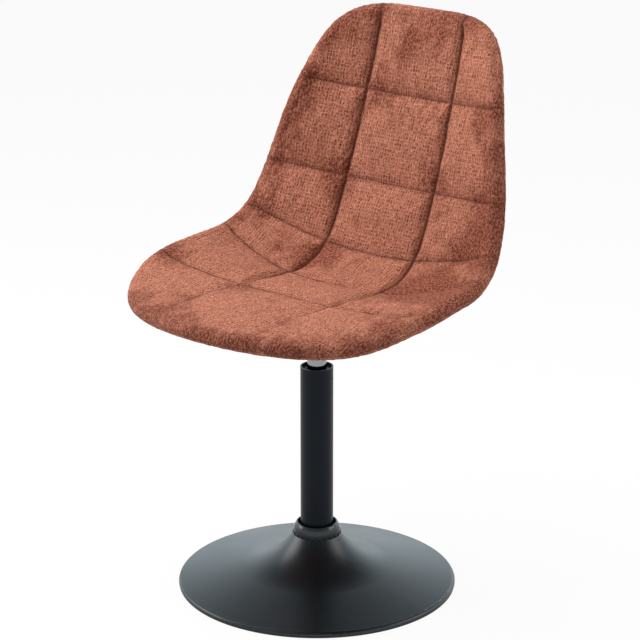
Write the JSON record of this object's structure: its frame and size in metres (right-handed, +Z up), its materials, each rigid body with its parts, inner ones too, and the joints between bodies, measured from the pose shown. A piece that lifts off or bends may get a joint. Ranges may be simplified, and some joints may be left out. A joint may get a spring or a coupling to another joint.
{
  "type": "swivel dining chair",
  "caption": "Quilted bucket seat on a height-adjustable swivel column with a round trumpet base, for one person at a dining table.",
  "frame": {"origin": "centre of the base on the floor, on the column's axis", "axes": "+Z up along the column, -Y the way the seat faces, +X the sitter's left"},
  "size_m": [0.508, 0.5267, 0.8223],
  "materials": {
    "black_powder_coat": "satin",
    "black_rubber": "matte",
    "black_primer": "matte",
    "black_satin_tube": "satin",
    "plain_steel": "satin",
    "gloss_black_plastic": "gloss",
    "grey_plastic": "satin",
    "black_plastic": "matte",
    "bearing_steel": "polished",
    "cage_brass": "satin",
    "rod_chrome": "polished",
    "gland_aluminium": "satin",
    "cylinder_chrome": "polished",
    "zinc_steel": "satin",
    "shell_plastic": "matte",
    "rust_chenille": "matte",
    "lever_steel": "satin"
  },
  "bodies": {
    "base": {"base_dish": "black_powder_coat", "edge_ring": "black_rubber", "column_socket": "black_primer", "brace_disc": "black_primer", "column_tube": "black_satin_tube", "column_floor": "plain_steel", "cover_collar": "gloss_black_plastic", "guide_bush": "grey_plastic", "bush_lock_pin": "black_plastic", "lower_race": "bearing_steel"},
    "bearing": {"ball_cage": "cage_brass", "bearing_balls": "bearing_steel"},
    "rod": {"upper_race": "bearing_steel", "rubber_buffer": "black_rubber", "piston_rod": "rod_chrome", "rod_clip": "bearing_steel", "piston": "gland_aluminium"},
    "seat": {"gas_cylinder": "cylinder_chrome", "cylinder_gland": "gland_aluminium", "cone_socket": "black_primer", "seat_plate": "black_powder_coat", "lever_bracket": "black_primer", "lever_pivot_pin": "bearing_steel", "seat_bolts": "zinc_steel", "threaded_inserts": "cage_brass", "seat_shell": "shell_plastic", "quilted_pad": "rust_chenille", "back_cover": "rust_chenille"},
    "lever": {"release_lever": "lever_steel", "lever_grip": "black_plastic"},
    "valve_pin": {"release_pin": "bearing_steel"}
  },
  "joints": [
    {"name": "seat_swivel", "type": "hinge", "parent": "base", "child": "rod", "pos_m": [0, 0, 0.1], "axis": [0, 0, 1], "continuous": true},
    {"name": "bearing_turn", "type": "hinge", "parent": "base", "child": "bearing", "pos_m": [0, 0, 0.021], "axis": [0, 0, 1], "continuous": true},
    {"name": "seat_height", "type": "slide", "parent": "rod", "child": "seat", "axis": [0, 0, 1], "range_m": [0, 0.1]},
    {"name": "lever_lift", "type": "hinge", "parent": "seat", "child": "lever", "pos_m": [-0.038, 0, 0.4183], "axis": [0, 1, 0], "range_deg": [0, 4.5], "stiffness_Nm_per_rad": 3},
    {"name": "pin_press", "type": "slide", "parent": "seat", "child": "valve_pin", "axis": [0, 0, -1], "range_m": [0, 0.003]}
  ],
  "couplings": [
    {"joint": "bearing_turn", "follows": "seat_swivel", "ratio": 0.5},
    {"joint": "pin_press", "follows": "lever_lift", "m_per_rad": 0.038}
  ]
}
